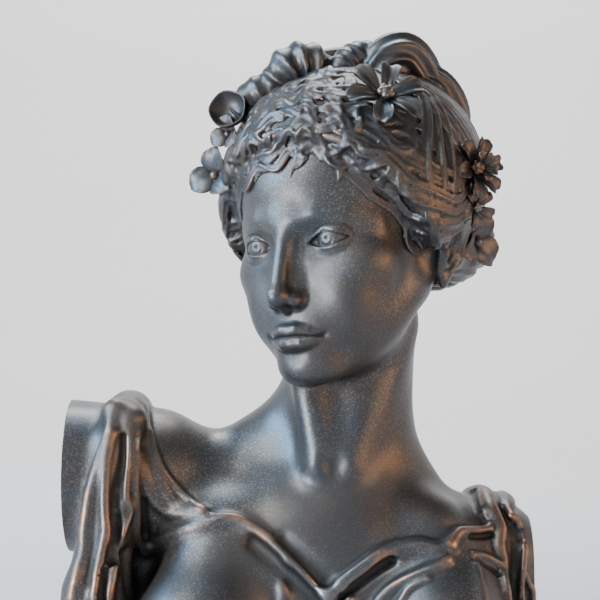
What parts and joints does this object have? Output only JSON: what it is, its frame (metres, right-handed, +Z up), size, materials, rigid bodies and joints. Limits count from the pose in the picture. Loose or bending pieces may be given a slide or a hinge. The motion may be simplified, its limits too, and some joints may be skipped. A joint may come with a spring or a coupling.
{
  "type": "bronze bust of a woman",
  "caption": "Life-size dark bronze bust of a draped young woman with pinned-up hair and flowers, cut flat below, to stand on a plinth or table.",
  "frame": {"origin": "on the flat underside, below the pit of the neck", "axes": "+Z up, the chest faces -Y, +X towards her left shoulder; the head turns to her right"},
  "size_m": [0.355, 0.224, 0.513],
  "materials": {
    "bronze": "near-black brown-grey patina with a soft waxed sheen, worn to copper on the ridges"
  },
  "bodies": {
    "root": {"bronze_bust": "bronze"}
  },
  "joints": []
}
